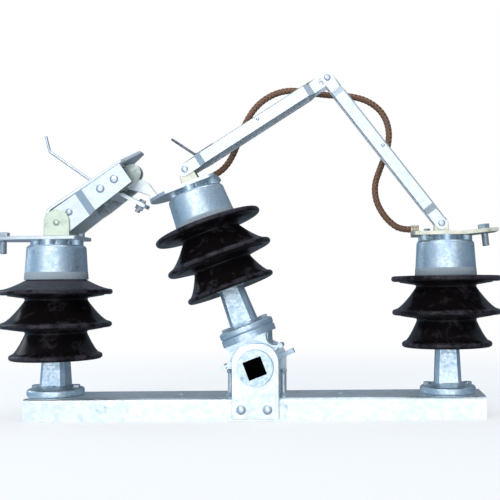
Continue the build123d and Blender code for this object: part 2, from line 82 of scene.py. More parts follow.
hinge = joints["tilt"]
rocker = leaning(hinge, lay["postLean"])
innerArm = leaning(joints["inner_arm_swing"], lay["innerArmAngle"])
elbow = innerArm @ Vector((lay["innerArmLength"], 0, 0))
outerRun = joints["outer_arm_swing"] - elbow
outerArm = leaning(elbow, atan2(outerRun.z, outerRun.x) * 180 / pi)
housing = leaning(rocker @ lay["mouthOnRocker"], lay["housingAngle"])
mouthGuide = at(housing, *lay["guideOnHousing"]) @ Matrix.Rotation(radians(lay["guideTurn"]), 4, "Y")
base = Matrix.Translation((hinge.x, 0, 0))
posts = {
    "left": at(base, lay["leftPost"], 0, lay["deck"]),
    "right": at(base, lay["rightPost"], 0, lay["deck"]),
    "centre": at(rocker, 0, 0, lay["rockerTop"]),
}


# Shader nodes: sockets go by name or number, and a wire is from, socket, to, socket
colourA, colourB, mixed = 6, 7, 2  # the colour sockets of a Mix node


def setSockets(node, sockets):
    for key, value in sockets.items():
        node.inputs[key].default_value = value


def addNode(tree, kind, settings=None, sockets=None):
    node = tree.nodes.new("ShaderNode" + kind)
    for key, value in (settings or {}).items():
        setattr(node, key, value)
    setSockets(node, sockets or {})
    return node


def wire(tree, *runs):
    for start, out, end, into in runs:
        tree.links.new(start.outputs[out], end.inputs[into])


def addMath(tree, operation, sockets=None):
    return addNode(tree, "Math", {"operation": operation}, sockets)


def oneOver(tree):
    return addMath(tree, "DIVIDE", {0: 1.0})


def ramp(tree, low, high, to=(0.0, 1.0), kind="LINEAR"):
    return addNode(tree, "MapRange", {"clamp": True, "interpolation_type": kind}, {
        "From Min": low, "From Max": high, "To Min": to[0], "To Max": to[1]})


def mixColour(tree, sockets=None, kind="MIX"):
    return addNode(tree, "Mix", {"data_type": "RGBA", "blend_type": kind}, sockets)


# Camera, floor and light
view = {
    "place": (0.21691, -1.31786, 0.20568),
    "forward": Vector((-0.02797, 0.99847, 0.04768)),
    "roll": -0.0109,
    "lens": 58.03, "sensor": 36.0, "shiftX": -0.2029,
}
studio = {
    "floorSize": 24.0,
    "floorColour": (0.45, 0.45, 0.46, 1),
    "floorRough": 0.9,
    "floorGlow": 0.62,
    "fadeFrom": 0.5, "fadeTo": 1.7,
    "backdrop": (1.0, 1.0, 1.0, 1),
    "frontGlow": (1.03, 1.03, 1.03, 1),
    "glowFrom": 0.70, "glowTo": 0.93,
    "sky": {
        "X": ((0.28, 0.44, 0.60, 1), (0.14, 0.20, 0.27, 1)),
        "Y": ((0.28, 0.38, 0.48, 1), (0.12, 0.15, 0.19, 1)),
        "Z": ((0.23, 0.27, 0.32, 1), (0.52, 0.61, 0.70, 1)),
    },
    "frontPanel": {"place": (-0.9, -2.2, 1.9), "aim": (0, 0, 0.25), "size": (1.0, 0.4), "power": 11.0},
    "topPanel": {"place": (0.4, -0.2, 2.4), "aim": (0, 0, 0.2), "size": (1.6, 1.6), "power": 8.0},
    "rimPanel": {"place": (-2.0, 0.6, 1.0), "aim": (0, 0, 0.3), "size": (0.9, 1.2), "power": 5.0},
}


def makeCamera():
    forward = view["forward"].normalized()
    level0 = forward.cross(Vector((0, 0, 1))).normalized()
    up0 = level0.cross(forward)
    right = cos(view["roll"]) * level0 + sin(view["roll"]) * up0
    up = cos(view["roll"]) * up0 - sin(view["roll"]) * level0
    bpy.ops.object.camera_add()
    camera = bpy.context.object
    camera.name = "photoCamera"
    turned = Matrix((right, up, -forward)).transposed().to_4x4()
    camera.matrix_world = Matrix.Translation(view["place"]) @ turned
    camera.data.lens = view["lens"]
    camera.data.sensor_width = view["sensor"]
    camera.data.shift_x = view["shiftX"]
    bpy.context.scene.camera = camera


def makePanel(name, panel):
    aim = Vector(panel["aim"]) - Vector(panel["place"])
    bpy.ops.object.light_add(type="AREA", location=panel["place"])
    light = bpy.context.object
    light.name = name
    light.data.shape = "RECTANGLE"
    light.data.size, light.data.size_y = panel["size"]
    light.data.energy = panel["power"]
    light.rotation_euler = aim.to_track_quat("-Z", "Y").to_euler()


# Pale paper that fades to the white of the backdrop away from the object
def floorPaint():
    paint = bpy.data.materials.new("palePaper")
    paint.use_nodes = True
    tree = paint.node_tree
    near = tree.nodes["Principled BSDF"]
    setSockets(near, {
        "Base Color": studio["floorColour"], "Roughness": studio["floorRough"],
        "Emission Color": studio["backdrop"], "Emission Strength": studio["floorGlow"]})
    far = addNode(tree, "Emission", None, {"Color": studio["backdrop"]})
    place = addNode(tree, "TexCoord")
    reach = addNode(tree, "VectorMath", {"operation": "LENGTH"})
    fade = ramp(tree, studio["fadeFrom"], studio["fadeTo"], kind="SMOOTHSTEP")
    chosen = addNode(tree, "MixShader")
    wire(
        tree,
        (place, "Object", reach, 0), (reach, "Value", fade, "Value"), (fade, 0, chosen, 0),
        (near, 0, chosen, 1), (far, 0, chosen, 2), (chosen, 0, tree.nodes["Material Output"], 0),
    )
    return paint


# White glow of the room in front of the object
def skyGlow(tree, way):
    glow = ramp(tree, -studio["glowFrom"], -studio["glowTo"], kind="SMOOTHSTEP")
    tinted = mixColour(tree, {colourA: (0, 0, 0, 1), colourB: studio["frontGlow"]})
    wire(tree, (way, "Y", glow, "Value"), (glow, 0, tinted, 0))
    return tinted


# The room's colour towards both ends of one axis, weighed by the square of the direction along it
def skySide(tree, way, axis, total):
    low, high = studio["sky"][axis]
    sign = addMath(tree, "GREATER_THAN", {1: 0.0})
    square = addMath(tree, "MULTIPLY")
    end = mixColour(tree, {colourA: low, colourB: high})
    added = mixColour(tree, kind="ADD")
    wire(
        tree,
        (way, axis, sign, 0), (way, axis, square, 0), (way, axis, square, 1), (sign, 0, end, 0),
        (square, 0, added, 0), (total, mixed, added, colourA), (end, mixed, added, colourB),
    )
    return added


def makeStudio():
    bpy.ops.mesh.primitive_plane_add(size=studio["floorSize"])
    floor = bpy.context.object
    floor.name = "studioFloor"
    floor.data.materials.append(floorPaint())
    floor.visible_glossy = floor.visible_diffuse = floor.visible_shadow = False
    for name in ("frontPanel", "topPanel", "rimPanel"):
        makePanel(name, studio[name])
    world = bpy.data.worlds.new("studioSky")
    bpy.context.scene.world = world
    world.use_nodes = True
    tree = world.node_tree
    sky = tree.nodes["Background"]
    room = addNode(tree, "TexCoord")
    way = addNode(tree, "SeparateXYZ")
    wire(tree, (room, "Generated", way, 0))
    total = skyGlow(tree, way)
    for axis in "XYZ":
        total = skySide(tree, way, axis, total)
    paper = addNode(tree, "Background", None, {"Color": studio["backdrop"]})
    paths = addNode(tree, "LightPath")
    chosen = addNode(tree, "MixShader")
    wire(
        tree,
        (total, mixed, sky, "Color"), (paths, "Is Camera Ray", chosen, 0), (sky, 0, chosen, 1),
        (paper, 0, chosen, 2), (chosen, 0, tree.nodes["World Output"], 0),
    )
    bpy.context.scene.view_settings.view_transform = "Standard"


makeCamera()
makeStudio()
print("camera, floor and lights set")


# Effects that several finishes share
effects = {
    "flakeShare": 0.45, "cloudFrom": 0.3, "cloudTo": 0.75, "cloudShare": 0.65,
    "edgeFrom": 0.995, "edgeTo": 0.80, "edgeSamples": 4, "stainSoft": 0.16,
}


def makeGroup(name, inputs, outputs):
    group = bpy.data.node_groups.new(name, "ShaderNodeTree")
    for label, kind, value in inputs:
        socket = group.interface.new_socket(label, in_out="INPUT", socket_type="NodeSocket" + kind)
        if value is not None:
            socket.default_value = value
    for label, kind in outputs:
        group.interface.new_socket(label, in_out="OUTPUT", socket_type="NodeSocket" + kind)
    return group, group.nodes.new("NodeGroupInput"), group.nodes.new("NodeGroupOutput")


def zincSpangle():
    group, given, made = makeGroup(
        "zincSpangle",
        [("Place", "Vector", None), ("Flake Size", "Float", 0.01), ("Pale", "Color", (1, 1, 1, 1)),
         ("Shade", "Color", (0.5, 0.5, 0.5, 1)), ("Cloud Size", "Float", 0.06)],
        [("Color", "Color"), ("Flake", "Float")],
    )
    flakeScale, cloudScale = oneOver(group), oneOver(group)
    flakes = addNode(group, "TexVoronoi", {"feature": "F1"}, {"Randomness": 1.0})
    clouds = addNode(group, "TexNoise", None, {"Detail": 4.0, "Roughness": 0.6})
    value = addNode(group, "SeparateColor")
    blend = addMath(group, "MULTIPLY_ADD", {1: effects["flakeShare"]})
    shift = ramp(group, effects["cloudFrom"], effects["cloudTo"], (0.0, effects["cloudShare"]))
    colour = mixColour(group)
    wire(
        group,
        (given, "Flake Size", flakeScale, 1), (given, "Cloud Size", cloudScale, 1),
        (given, "Place", flakes, "Vector"), (flakeScale, 0, flakes, "Scale"),
        (given, "Place", clouds, "Vector"), (cloudScale, 0, clouds, "Scale"),
        (flakes, "Color", value, 0), (value, 0, blend, 0), (clouds, 0, shift, "Value"),
        (shift, 0, blend, 2), (blend, 0, colour, 0), (given, "Pale", colour, colourA),
        (given, "Shade", colour, colourB), (colour, mixed, made, "Color"), (value, 0, made, "Flake"),
    )
    return group


def rubbedEdge():
    group, given, made = makeGroup("rubbedEdge", [("Reach", "Float", 0.001)], [("Mask", "Float")])
    rounded = addNode(group, "Bevel", {"samples": effects["edgeSamples"]})
    face = addNode(group, "NewGeometry")
    dot = addNode(group, "VectorMath", {"operation": "DOT_PRODUCT"})
    mask = ramp(group, effects["edgeFrom"], effects["edgeTo"])
    wire(
        group,
        (given, "Reach", rounded, "Radius"), (rounded, 0, dot, 0), (face, "Normal", dot, 1),
        (dot, "Value", mask, "Value"), (mask, 0, made, "Mask"),
    )
    return group


def weatherStain():
    group, given, made = makeGroup(
        "weatherStain",
        [("Place", "Vector", None), ("Patch Size", "Float", 0.05), ("Threshold", "Float", 0.55)],
        [("Mask", "Float")],
    )
    scale = oneOver(group)
    wide = addNode(group, "TexNoise", None, {"Detail": 6.0, "Roughness": 0.68, "Distortion": 0.4})
    upper = addMath(group, "ADD", {1: effects["stainSoft"]})
    mask = ramp(group, 0.0, 1.0, kind="SMOOTHSTEP")
    wire(
        group,
        (given, "Patch Size", scale, 1), (scale, 0, wide, "Scale"), (given, "Place", wide, "Vector"),
        (wide, 0, mask, "Value"), (given, "Threshold", mask, "From Min"), (given, "Threshold", upper, 0),
        (upper, 0, mask, "From Max"), (mask, 0, made, "Mask"),
    )
    return group


def fineScratch():
    group, given, made = makeGroup(
        "fineScratch",
        [("Place", "Vector", None), ("Spacing", "Float", 0.002), ("Stretch", "Float", 18.0)],
        [("Height", "Float")],
    )
    scale, squeeze = oneOver(group), oneOver(group)
    vector = addNode(group, "CombineXYZ", None, {"Y": 1.0, "Z": 1.0})
    drawn = addNode(group, "VectorMath", {"operation": "MULTIPLY"})
    lines = addNode(group, "TexNoise", None, {"Detail": 3.0, "Roughness": 0.55})
    wire(
        group,
        (given, "Spacing", scale, 1), (given, "Stretch", squeeze, 1), (squeeze, 0, vector, "X"),
        (given, "Place", drawn, 0), (vector, 0, drawn, 1), (drawn, 0, lines, "Vector"),
        (scale, 0, lines, "Scale"), (lines, 0, made, "Height"),
    )
    return group


groups = {make.__name__: make() for make in (zincSpangle, rubbedEdge, weatherStain, fineScratch)}


def addBump(tree, look):
    return addNode(tree, "Bump", None, {"Strength": look["strength"], "Distance": look["bump"]})


def placeGroup(tree, name, sockets):
    return addNode(tree, "Group", {"node_tree": groups[name]}, sockets)


def addStain(tree, patch, threshold):
    return placeGroup(tree, "weatherStain", {"Patch Size": patch, "Threshold": threshold})


def newFinish(name, metallic, turn=0.0):
    finish = bpy.data.materials.new(name)
    finish.use_nodes = True
    tree = finish.node_tree
    surface = tree.nodes["Principled BSDF"]
    surface.inputs["Metallic"].default_value = metallic
    place = addNode(tree, "TexCoord")
    turned = addNode(tree, "Mapping", {"vector_type": "POINT"}, {"Rotation": (0, radians(turn), 0)})
    wire(tree, (place, "Object", turned, "Vector"))
    return finish, tree, surface, turned


# Zinc coated, plated and bare metals, and what they have unless they say otherwise
plainMetal = {
    "metallic": 0.9, "turn": 0.0, "strength": 0.6, "rubReach": 0.0012, "dulling": 0.16,
    "flakeRelief": 0.35,
}
metals = {
    "galvanisedSheet": {
        "pale": (0.95, 0.95, 0.95, 1), "shade": (0.80, 0.86, 0.90, 1), "flake": 0.006, "cloud": 0.09,
        "stain": (0.48, 0.56, 0.64, 1), "patch": 0.035, "threshold": 0.63, "rub": (0.93, 0.94, 0.96, 1),
        "rough": (0.30, 0.48), "bump": 0.00025, "spacing": 0.004,
    },
    "channelZinc": {
        "pale": (0.97, 0.97, 0.96, 1), "shade": (0.84, 0.91, 0.95, 1), "flake": 0.007, "cloud": 0.10,
        "stain": (0.42, 0.54, 0.66, 1), "patch": 0.05, "threshold": 0.60, "rub": (0.93, 0.94, 0.96, 1),
        "rough": (0.30, 0.46), "bump": 0.00025, "spacing": 0.004,
    },
    "armSheet": {
        "pale": (0.86, 0.88, 0.89, 1), "shade": (0.73, 0.79, 0.84, 1), "flake": 0.005, "cloud": 0.09,
        "stain": (0.45, 0.52, 0.60, 1), "patch": 0.03, "threshold": 0.64, "rub": (0.95, 0.96, 0.97, 1),
        "rough": (0.30, 0.45), "bump": 0.00022, "spacing": 0.004, "turn": 32.0,
    },
    "castZinc": {
        "pale": (0.88, 0.95, 0.98, 1), "shade": (0.52, 0.67, 0.80, 1), "flake": 0.004, "cloud": 0.03,
        "stain": (0.32, 0.41, 0.50, 1), "patch": 0.02, "threshold": 0.58, "rub": (0.82, 0.87, 0.92, 1),
        "rough": (0.28, 0.48), "metallic": 0.88, "bump": 0.0007, "spacing": 0.003,
    },
    "passivate": {
        "pale": (0.80, 0.84, 0.66, 1), "shade": (0.62, 0.69, 0.58, 1), "flake": 0.010, "cloud": 0.025,
        "stain": (0.42, 0.47, 0.36, 1), "patch": 0.018, "threshold": 0.58, "rub": (0.90, 0.91, 0.82, 1),
        "rough": (0.32, 0.50), "metallic": 0.8, "bump": 0.0003, "spacing": 0.003,
    },
    "paleBrass": {
        "pale": (0.80, 0.78, 0.66, 1), "shade": (0.66, 0.63, 0.50, 1), "flake": 0.008, "cloud": 0.04,
        "stain": (0.45, 0.40, 0.26, 1), "patch": 0.03, "threshold": 0.60, "rub": (0.93, 0.90, 0.74, 1),
        "rough": (0.28, 0.44), "bump": 0.0002, "spacing": 0.003,
    },
    "contactGrey": {
        "pale": (0.60, 0.65, 0.60, 1), "shade": (0.40, 0.46, 0.42, 1), "flake": 0.006, "cloud": 0.02,
        "stain": (0.22, 0.26, 0.24, 1), "patch": 0.012, "threshold": 0.58, "rub": (0.80, 0.76, 0.62, 1),
        "rough": (0.32, 0.50), "bump": 0.0003, "spacing": 0.002, "turn": 35.0,
    },
    "tinnedCopper": {
        "pale": (0.80, 0.72, 0.60, 1), "shade": (0.62, 0.50, 0.38, 1), "flake": 0.004, "cloud": 0.012,
        "stain": (0.35, 0.22, 0.14, 1), "patch": 0.008, "threshold": 0.56, "rub": (0.86, 0.62, 0.46, 1),
        "rough": (0.30, 0.48), "bump": 0.0002, "spacing": 0.002,
    },
    "heatDark": {
        "pale": (0.22, 0.23, 0.28, 1), "shade": (0.10, 0.10, 0.13, 1), "flake": 0.004, "cloud": 0.012,
        "stain": (0.05, 0.045, 0.05, 1), "patch": 0.01, "threshold": 0.52, "rub": (0.42, 0.43, 0.48, 1),
        "rough": (0.38, 0.60), "metallic": 0.85, "bump": 0.0003, "spacing": 0.002,
    },
    "boltZinc": {
        "pale": (0.84, 0.87, 0.90, 1), "shade": (0.58, 0.64, 0.71, 1), "flake": 0.003, "cloud": 0.008,
        "stain": (0.30, 0.32, 0.36, 1), "patch": 0.006, "threshold": 0.58, "rub": (0.94, 0.95, 0.96, 1),
        "rough": (0.28, 0.46), "metallic": 0.95, "bump": 0.0002, "spacing": 0.001,
    },
}


def metalFinish(name):
    look = {**plainMetal, **metals[name]}
    finish, tree, surface, place = newFinish(name, look["metallic"], look["turn"])
    spangle = placeGroup(tree, "zincSpangle", {
        "Flake Size": look["flake"], "Cloud Size": look["cloud"], "Pale": look["pale"],
        "Shade": look["shade"]})
    stain = addStain(tree, look["patch"], look["threshold"])
    edge = placeGroup(tree, "rubbedEdge", {"Reach": look["rubReach"]})
    scratch = placeGroup(tree, "fineScratch", {"Spacing": look["spacing"]})
    stained = mixColour(tree, {colourB: look["stain"]})
    rubbed = mixColour(tree, {colourB: look["rub"]})
    rough = ramp(tree, 0.0, 1.0, look["rough"])
    dulled = addMath(tree, "MULTIPLY_ADD", {1: look["dulling"]})
    relief = addMath(tree, "MULTIPLY_ADD", {1: look["flakeRelief"]})
    bump = addBump(tree, look)
    wire(
        tree,
        (place, 0, spangle, "Place"), (place, 0, stain, "Place"), (place, 0, scratch, "Place"),
        (spangle, "Color", stained, colourA), (stain, "Mask", stained, 0),
        (stained, mixed, rubbed, colourA), (edge, "Mask", rubbed, 0),
        (rubbed, mixed, surface, "Base Color"), (spangle, "Flake", rough, "Value"),
        (stain, "Mask", dulled, 0), (rough, 0, dulled, 2),
        (dulled, 0, surface, "Roughness"), (spangle, "Flake", relief, 0), (scratch, "Height", relief, 2),
        (relief, 0, bump, "Height"), (bump, 0, surface, "Normal"),
    )
    return finish


# Dark brown glaze, with a painted highlight in streaky patches along the upper side of the rims, and a dusty film
glaze = {
    # The thin or highlightTint colour is a painted highlight: the purple-grey laid on the upper side of the rims
    "deep": (0.0075, 0.0050, 0.0055, 1), "highlightTint": (0.046, 0.037, 0.048, 1), "dust": (0.20, 0.18, 0.22, 1),
    "ior": 1.26, "rough": (0.22, 0.42), "peelSize": 0.006, "bump": 0.00025, "strength": 0.5,
    "highlightPatch": 0.022, "highlightThreshold": 0.40, "filmPatch": 0.03, "filmThreshold": 0.52,
    "filmShare": 0.16, "dustShare": 0.36,
}


def glazeFinish():
    finish, tree, surface, place = newFinish("brownGlaze", 0.0)
    surface.inputs["IOR"].default_value = glaze["ior"]
    paintedHighlight = addNode(tree, "Attribute", {"attribute_name": "rimHighlight"})
    settled = addNode(tree, "Attribute", {"attribute_name": "topDust"})
    highlightStreaks = addStain(tree, glaze["highlightPatch"], glaze["highlightThreshold"])
    stain = addStain(tree, glaze["filmPatch"], glaze["filmThreshold"])
    # edge is the painted highlight's mask: the rim attribute times streaky noise
    edge = addMath(tree, "MULTIPLY")
    fallen = addMath(tree, "MULTIPLY_ADD", {1: glaze["dustShare"]})
    film = addMath(tree, "MULTIPLY", {1: glaze["filmShare"]})
    peel = addNode(tree, "TexNoise", None, {"Scale": 1 / glaze["peelSize"], "Detail": 2.0})
    # Painted highlight: the lighter purple-grey goes over the deep glaze where that mask is
    highlighted = mixColour(tree, {colourA: glaze["deep"], colourB: glaze["highlightTint"]})
    dusty = mixColour(tree, {colourB: glaze["dust"]})
    rough = ramp(tree, 0.0, 1.0, glaze["rough"])
    bump = addBump(tree, glaze)
    wire(
        tree,
        (place, 0, stain, "Place"), (place, 0, peel, "Vector"), (place, 0, highlightStreaks, "Place"),
        (paintedHighlight, "Fac", edge, 0), (highlightStreaks, "Mask", edge, 1), (edge, 0, highlighted, 0),
        (stain, "Mask", film, 0), (settled, "Fac", fallen, 0), (film, 0, fallen, 2),
        (highlighted, mixed, dusty, colourA), (fallen, 0, dusty, 0), (dusty, mixed, surface, "Base Color"),
        (stain, "Mask", rough, "Value"), (rough, 0, surface, "Roughness"),
        (peel, 0, bump, "Height"), (bump, 0, surface, "Normal"),
    )
    return finish


# Woven copper, with painted shade in the grooves between its wires
wires = {
    "bright": (0.52, 0.30, 0.19, 1), "grooveShade": (0.20, 0.095, 0.06, 1), "patina": (0.28, 0.20, 0.16, 1),
    "wiresPerRibbon": 5, "patch": 0.02, "threshold": 0.52, "patinaShare": 0.6,
    "metallic": 0.85, "rough": 0.42, "bump": 0.0003, "strength": 0.7,
}


def braidFinish():
    finish, tree, surface, place = newFinish("wovenCopper", wires["metallic"])
    surface.inputs["Roughness"].default_value = wires["rough"]
    strand = addNode(tree, "UVMap", {"uv_map": "alongStrand"})
    split = addNode(tree, "SeparateXYZ")
    comb = addMath(tree, "MULTIPLY", {1: 2 * pi * 2 * wires["wiresPerRibbon"]})
    wave = addMath(tree, "SINE")
    height = ramp(tree, -1.0, 1.0)
    stain = addStain(tree, wires["patch"], wires["threshold"])
    # Painted shade: the copper darkens towards the groove colour between the wires, where the wave is low
    colour = mixColour(tree, {colourA: wires["grooveShade"], colourB: wires["bright"]})
    aged = mixColour(tree, {colourB: wires["patina"]})
    faded = addMath(tree, "MULTIPLY", {1: wires["patinaShare"]})
    bump = addBump(tree, wires)
    wire(
        tree,
        (strand, 0, split, 0), (split, "X", comb, 0), (comb, 0, wave, 0), (wave, 0, height, "Value"),
        (height, 0, colour, 0), (place, 0, stain, "Place"), (stain, "Mask", faded, 0),
        (faded, 0, aged, 0), (colour, mixed, aged, colourA), (aged, mixed, surface, "Base Color"),
        (height, 0, bump, "Height"), (bump, 0, surface, "Normal"),
    )
    return finish


# Cement that bonds the castings to the porcelain
cement = {
    "pale": (0.58, 0.63, 0.66, 1), "dark": (0.36, 0.41, 0.44, 1), "grain": 0.0025, "rough": 0.9,
    "bump": 0.0008, "strength": 0.6,
}


def cementFinish():
    finish, tree, surface, place = newFinish("cementJoint", 0.0)
    surface.inputs["Roughness"].default_value = cement["rough"]
    grain = addNode(tree, "TexNoise", None, {
        "Scale": 1 / cement["grain"], "Detail": 6.0, "Roughness": 0.7})
    colour = mixColour(tree, {colourA: cement["dark"], colourB: cement["pale"]})
    bump = addBump(tree, cement)
    wire(
        tree,
        (place, 0, grain, "Vector"), (grain, 0, colour, 0), (colour, mixed, surface, "Base Color"),
        (grain, 0, bump, "Height"), (bump, 0, surface, "Normal"),
    )
    return finish


# Painted shade: near-black for the faces inside the drive sockets, standing in for the dark of the square holes
socketShade = {
    "colour": (0.004, 0.004, 0.005, 1), "rough": 0.85, "specular": 0.08,
    "halfWidth": 0.0153, "from": 0.0072, "to": 0.0592,
}


def socketShadeFinish():
    finish, _, surface, _ = newFinish("socketGrease", 0.0)
    setSockets(surface, {
        "Base Color": socketShade["colour"], "Roughness": socketShade["rough"],
        "Specular IOR Level": socketShade["specular"]})
    return finish


finishes = {name: metalFinish(name) for name in metals}
finishes.update(
    brownGlaze=glazeFinish(), wovenCopper=braidFinish(), cementJoint=cementFinish(),
    socketGrease=socketShadeFinish())
slotFinish = {
    "galvanised_steel": "galvanisedSheet", "galvanised_iron": "castZinc", "brown_porcelain": "brownGlaze",
    "passivated_steel": "passivate", "tinned_brass": "paleBrass", "contact_metal": "contactGrey",
    "copper_braid": "wovenCopper", "lug_copper": "tinnedCopper", "dark_steel": "heatDark",
    "bolt_steel": "boltZinc",
}
nodeFinish = {
    "base_channel": "channelZinc", "inner_arm": "armSheet", "outer_arm": "armSheet",
    "contact_housing": "armSheet",
}
print("finishes made:", len(finishes))


# Shaping helpers, with angles in degrees
shaping = {
    "merge": 0.00002, "flatten": 0.6, "cornerSteps": 7, "alongDirection": 0.999,
    "crease": 34, "bendCrease": 16, "bevelAngle": 32, "bevelSteps": 2, "smoothAngle": 40,
    "turnedSmooth": 38,
}


def selectOnly(piece):
    bpy.ops.object.select_all(action="DESELECT")
    piece.select_set(True)
    bpy.context.view_layer.objects.active = piece


def editAll(piece):
    selectOnly(piece)
    bpy.ops.object.mode_set(mode="EDIT")
    bpy.ops.mesh.select_all(action="SELECT")


def editEdges(piece):
    editAll(piece)
    bpy.ops.mesh.select_mode(type="EDGE")
    bpy.ops.mesh.select_all(action="DESELECT")


def doneEditing():
    bpy.ops.object.mode_set(mode="OBJECT")


def placed(name, mesh):
    piece = bpy.data.objects.new(name, mesh)
    bpy.context.scene.collection.objects.link(piece)
    return piece


def mergedCopy(name):
    piece = placed(name + "Visual", frame["nodes"][name].data.copy())
    editAll(piece)
    bpy.ops.mesh.customdata_custom_splitnormals_clear()
    bpy.ops.mesh.remove_doubles(threshold=shaping["merge"])
    bpy.ops.mesh.dissolve_limited(angle_limit=radians(shaping["flatten"]))
    bpy.ops.mesh.normals_make_consistent(inside=False)
    doneEditing()
    return piece


def roundCorners(piece, place, direction, where, radius):
    toLocal = place.inverted()
    editEdges(piece)
    doneEditing()
    for edge in piece.data.edges:
        a, b = (toLocal @ piece.data.vertices[i].co for i in edge.vertices)
        run = (b - a).normalized()
        edge.select = abs(run.dot(direction)) > shaping["alongDirection"] and where((a + b) / 2)
    bpy.ops.object.mode_set(mode="EDIT")
    bpy.ops.mesh.bevel(offset=radius, segments=shaping["cornerSteps"], affect="EDGES")
    doneEditing()


# Edges sharper than the crease stay sharp in the shading, and those past the bevel angle are eased
def softenEdges(piece, width, crease=shaping["crease"]):
    editEdges(piece)
    bpy.ops.mesh.edges_select_sharp(sharpness=radians(crease))
    bpy.ops.mesh.mark_sharp()
    doneEditing()
    soft = piece.modifiers.new("softEdge", "BEVEL")
    soft.width = width
    soft.segments = shaping["bevelSteps"]
    soft.limit_method = "ANGLE"
    soft.angle_limit = radians(shaping["bevelAngle"])
    bpy.ops.object.modifier_apply(modifier="softEdge")
    bpy.ops.object.shade_smooth_by_angle(angle=radians(shaping["smoothAngle"]), keep_sharp_edges=True)
    flat = piece.modifiers.new("flatFaces", "WEIGHTED_NORMAL")
    flat.keep_sharp = True
    bpy.ops.object.modifier_apply(modifier="flatFaces")


# A turned piece, from (radius, height) rings
def lathe(name, rings, sides):
    radius, height = rings[0]
    bpy.ops.mesh.primitive_circle_add(
        vertices=sides, radius=radius, fill_type="NGON", location=(0, 0, height))
    piece = bpy.context.object
    piece.name = name
    bpy.ops.object.transform_apply(location=True)
    editAll(piece)
    for (r0, z0), (r1, z1) in zip(rings, rings[1:]):
        bpy.ops.mesh.extrude_region_move(TRANSFORM_OT_translate={"value": (0, 0, z1 - z0)})
        bpy.ops.transform.resize(value=(r1 / r0, r1 / r0, 1), center_override=(0, 0, z1))
    bpy.ops.mesh.select_all(action="SELECT")
    bpy.ops.mesh.normals_make_consistent(inside=False)
    doneEditing()
    bpy.ops.object.shade_smooth_by_angle(angle=radians(shaping["turnedSmooth"]))
    return piece


def joined(name, pieces):
    bpy.ops.object.select_all(action="DESELECT")
    for piece in pieces:
        piece.select_set(True)
    bpy.context.view_layer.objects.active = pieces[0]
    bpy.ops.object.join()
    pieces[0].name = name
    return pieces[0]


def copied(template, place):
    piece = placed(template.name, template.data.copy())
    piece.data.transform(place)
    return piece


def arc(centre, radius, start, end, steps):
    turns = [radians(start + (end - start) * i / steps) for i in range(steps + 1)]
    return [(centre[0] + radius * cos(t), centre[1] + radius * sin(t)) for t in turns]


def dress(piece, finishName):
    piece.data.materials.clear()
    piece.data.materials.append(finishes[finishName])


def settle(piece, body, slotName, stands=(), finishName=None):
    selectOnly(piece)
    bpy.ops.object.transform_apply(location=True, rotation=True, scale=True)
    dress(piece, finishName or slotFinish[slotName])
    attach(piece, body)
    if stands:
        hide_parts(*stands)
    return piece


def settleNode(piece, name):
    return settle(piece, bodyOf[name], slotOf[name], (name,), nodeFinish.get(name))


# Porcelain, turned as one profile from its foot up to the cap
porcelain = {
    "sides": 112, "capBottom": 0.190,
    "drop": {"left": 0.015, "right": 0.0, "centre": 0.0},  # how much lower the sheds sit
    "foot": 0.080, "footRadius": 0.0245, "footInset": 0.003,
    "neck": 0.047, "collar": 0.046, "collarTop": (0.002, 0.0005),
    "radii": (0.073, 0.088, 0.089), "below": (0.116, 0.0645, 0.0105),
    "underDrop": 0.006, "underShares": (0.35, 0.7), "dripInset": 0.007, "dripDepth": 0.0014,
    "rim": 0.0092, "rimRound": 0.0044, "rimTurn": 75, "rimSteps": 5, "flare": 1.42, "flareSteps": 10,
    "notchRound": 0.0045, "notchRise": 0.0006,
    # These inset, from and to values place the painted highlight on the upper side of each rim
    "highlightInset": 1.3, "highlightFrom": 0.3, "highlightTo": 1.2, "dustFrom": 0.9,
}


def curveBetween(start, corner, end, steps):
    shares = [i / steps for i in range(1, steps + 1)]
    weights = [((1 - t) ** 2, 2 * t * (1 - t), t * t) for t in shares]
    return [tuple(u * a + v * b + w * c for a, b, c in zip(start, corner, end)) for u, v, w in weights]


def shedLows(drop):
    return [porcelain["capBottom"] - below - drop for below in porcelain["below"]]


def porcelainRings(drop):
    foot = porcelain["foot"] - drop
    lows = shedLows(drop)
    notches = [(porcelain["neck"], low - porcelain["underDrop"]) for low in lows[1:]]
    notches.append((porcelain["collar"], porcelain["capBottom"]))
    rings = [(porcelain["footRadius"] - porcelain["footInset"], foot), (porcelain["footRadius"], foot)]
    roundOff, steps = porcelain["rimRound"], porcelain["rimSteps"]
    for radius, low, notch in zip(porcelain["radii"], lows, notches):
        high = low + porcelain["rim"]
        rim = radius - roundOff
        start = rings[-1]
        for share in porcelain["underShares"]:
            rings.append((start[0] + (rim - start[0]) * share, start[1] + (low - start[1]) * share))
        rings.append((rim - porcelain["dripInset"], low + porcelain["dripDepth"]))
        rings += arc((rim, low + roundOff), roundOff, -90, 0, steps)
        rings += arc((rim, high - roundOff), roundOff, 0, porcelain["rimTurn"], steps)
        for i in range(1, porcelain["flareSteps"]):
            share = i / porcelain["flareSteps"]
            height = high + (notch[1] - high) * share ** porcelain["flare"]
            rings.append((rim + (notch[0] - rim) * share, height))
        if notch[0] == porcelain["neck"]:
            above = (notch[0] + porcelain["notchRound"], notch[1] + porcelain["notchRise"])
            rings += curveBetween(rings[-1], notch, above, steps)
    inset, rise = porcelain["collarTop"]
    return rings + [(porcelain["collar"] - inset, porcelain["capBottom"] + rise)]


